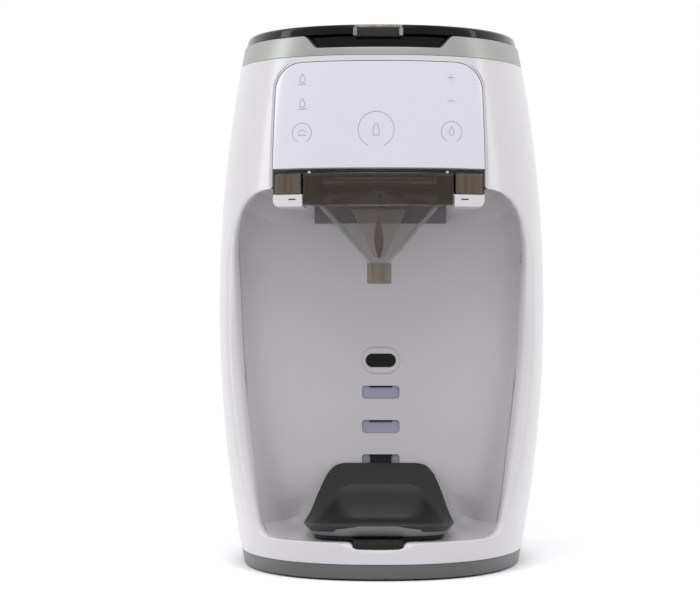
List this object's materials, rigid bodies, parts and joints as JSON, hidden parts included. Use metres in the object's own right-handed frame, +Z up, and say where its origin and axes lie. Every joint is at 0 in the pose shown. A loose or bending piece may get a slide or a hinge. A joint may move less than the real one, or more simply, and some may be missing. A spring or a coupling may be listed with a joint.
{
  "type": "baby formula maker",
  "caption": "Countertop machine that doses powder and warm water through a funnel into a bottle on an adjustable stand, with a rear water tank and a hinged top lid.",
  "frame": {"origin": "on the table, under the middle of the machine", "axes": "+Z up, the front with the touch panel and bottle niche faces -Y, +X to the right when seen from the front"},
  "size_m": [0.225, 0.322, 0.3597],
  "materials": {
    "white_gloss_plastic": "glossy moulded",
    "white_satin_plastic": "fine satin moulded",
    "silver_painted_plastic": "satin silver paint",
    "base_silver_paint": "satin silver paint",
    "black_gloss_plastic": "glossy moulded",
    "smoked_plastic": "smoked transparent, polished",
    "clear_tank_plastic": "clear, polished",
    "panel_plastic": "glossy printed film",
    "guide_plastic": "diffusing",
    "grey_plastic": "satin moulded",
    "lavender_plastic": "satin moulded",
    "dark_grey_plastic": "satin moulded",
    "foot_grey_plastic": "satin moulded",
    "black_matt_plastic": "fine texture",
    "infrared_window_plastic": "polished dark",
    "natural_nylon": "machined",
    "black_rubber": "matt",
    "silicone_hose": "translucent matt",
    "stainless_steel": "brushed",
    "zinc_plated_steel": "zinc plated",
    "cast_aluminium": "cast",
    "brass_pins": "bright",
    "green_circuit_board": "solder mask",
    "white_circuit_board": "solder mask"
  },
  "bodies": {
    "housing": {"front_shell": "white_gloss_plastic", "niche_liner": "white_satin_plastic", "hood_box": "white_satin_plastic", "hood_rails": "white_gloss_plastic", "rear_shell": "white_gloss_plastic", "rear_vent": "black_matt_plastic", "base_band": "base_silver_paint", "base_plate": "black_matt_plastic", "base_screws": "zinc_plated_steel", "rubber_feet": "black_rubber", "panel_fascia": "panel_plastic", "light_guide": "guide_plastic", "touch_board": "white_circuit_board", "top_ring": "silver_painted_plastic", "top_deck": "white_satin_plastic", "rear_top_cap": "black_gloss_plastic", "lid_hinge_pin": "stainless_steel", "outlet_block": "grey_plastic", "water_nozzle": "stainless_steel", "sensor_bezel": "white_satin_plastic", "sensor_window": "infrared_window_plastic", "sensor_board": "green_circuit_board", "height_sockets": "lavender_plastic", "dosing_plate": "stainless_steel", "gear_motor": "zinc_plated_steel", "powder_jar": "clear_tank_plastic", "powder_lid": "white_satin_plastic", "tank_socket": "natural_nylon", "chassis": "zinc_plated_steel", "boiler": "cast_aluminium", "boiler_clamps": "zinc_plated_steel", "thermostat": "black_matt_plastic", "pump": "black_matt_plastic", "pump_mount": "black_rubber", "flow_meter": "natural_nylon", "solenoid_valve": "natural_nylon", "hose_cold": "silicone_hose", "hose_feed": "silicone_hose", "hose_boiler": "silicone_hose", "hose_hot": "silicone_hose", "hose_outlet": "silicone_hose", "main_board": "green_circuit_board", "power_supply": "black_matt_plastic", "inlet_socket": "black_matt_plastic", "inlet_pins": "brass_pins"},
    "lid": {"top_lid": "black_gloss_plastic", "lid_tab": "smoked_plastic"},
    "funnel_drawer": {"funnel_cover": "smoked_plastic", "mixing_funnel": "smoked_plastic"},
    "tank": {"water_tank": "clear_tank_plastic", "tank_lid": "black_matt_plastic", "tank_spigot": "natural_nylon", "spigot_seal": "black_rubber"},
    "stand": {"bottle_stand": "dark_grey_plastic", "stand_foot": "foot_grey_plastic", "stand_hook": "dark_grey_plastic"},
    "tray": {"drip_tray": "black_matt_plastic"},
    "doser": {"dosing_wheel": "natural_nylon", "agitator": "natural_nylon"},
    "pinion": {"motor_pinion": "zinc_plated_steel"}
  },
  "joints": [
    {"name": "lid_hinge", "type": "hinge", "parent": "housing", "child": "lid", "pos_m": [0, 0.1, 0.3561], "axis": [-1, 0, 0], "range_deg": [0, 92]},
    {"name": "funnel_drawer_slide", "type": "slide", "parent": "housing", "child": "funnel_drawer", "axis": [0, -1, 0], "range_m": [0, 0.11]},
    {"name": "tank_slide", "type": "slide", "parent": "housing", "child": "tank", "axis": [0, 1, 0], "range_m": [0, 0.09]},
    {"name": "stand_slide", "type": "slide", "parent": "housing", "child": "stand", "axis": [0, -1, 0], "range_m": [0, 0.11]},
    {"name": "tray_slide", "type": "slide", "parent": "housing", "child": "tray", "axis": [0, -1, 0], "range_m": [0, 0.1]},
    {"name": "doser_spin", "type": "hinge", "parent": "housing", "child": "doser", "pos_m": [0, -0.08, 0.2754], "axis": [0, 0, 1], "continuous": true},
    {"name": "pinion_spin", "type": "hinge", "parent": "housing", "child": "pinion", "pos_m": [0, -0.032, 0.2754], "axis": [0, 0, 1], "continuous": true}
  ],
  "couplings": [
    {"joint": "pinion_spin", "follows": "doser_spin", "ratio": -3}
  ]
}
